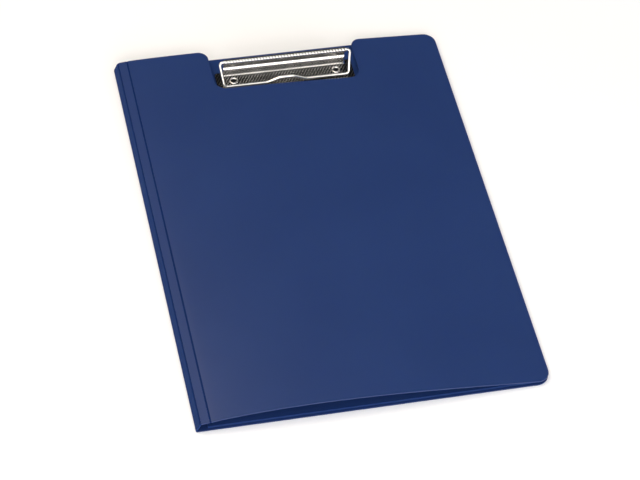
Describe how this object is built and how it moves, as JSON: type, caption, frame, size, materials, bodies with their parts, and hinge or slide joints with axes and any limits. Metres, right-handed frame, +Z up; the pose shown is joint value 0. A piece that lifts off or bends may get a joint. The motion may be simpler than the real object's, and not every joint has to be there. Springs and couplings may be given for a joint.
{
  "type": "folding clipboard",
  "caption": "Folding clipboard: stiff back, living-hinge spine, bowed front cover with a cut-out, and a knurled clip plate whose wire bail holds sheets.",
  "frame": {"origin": "middle of the closed folder's underside", "axes": "+Y along the spine towards the clip end, +X from the spine to the open edge, +Z up out of the front cover"},
  "size_m": [0.236, 0.32, 0.0205],
  "materials": {
    "polypropylene": "navy blue polypropylene sheet with a fine grain and a soft sheen",
    "board": "navy blue polypropylene board",
    "clip_steel": "bright nickel plate over a fine knurl",
    "wire": "bright nickel plate, smooth",
    "rivet": "bright nickel plate, smooth"
  },
  "bodies": {
    "board": {"back_cover": "polypropylene", "back_board": "board", "clip_plate": "clip_steel", "rivet_left": "rivet", "rivet_right": "rivet"},
    "spine": {"spine": "polypropylene"},
    "strip": {"hinge_strip": "polypropylene"},
    "cover": {"front_cover": "polypropylene"},
    "bail": {"clip_bail": "wire"}
  },
  "joints": [
    {"name": "spine_fold", "type": "hinge", "parent": "board", "child": "spine", "pos_m": [-0.1178, 0, 0.0005], "axis": [0, -1, 0], "range_deg": [0, 180]},
    {"name": "strip_fold", "type": "hinge", "parent": "spine", "child": "strip", "pos_m": [-0.11501, 0, 0.00789], "axis": [0, -1, 0], "range_deg": [0, 90]},
    {"name": "cover_fold", "type": "hinge", "parent": "strip", "child": "cover", "pos_m": [-0.10857, 0, 0.00879], "axis": [0, -1, 0], "range_deg": [0, 90]},
    {"name": "bail_hinge", "type": "hinge", "parent": "board", "child": "bail", "pos_m": [0.002, 0.13972, 0.0186], "axis": [-1, 0, 0], "range_deg": [0, 110]}
  ]
}
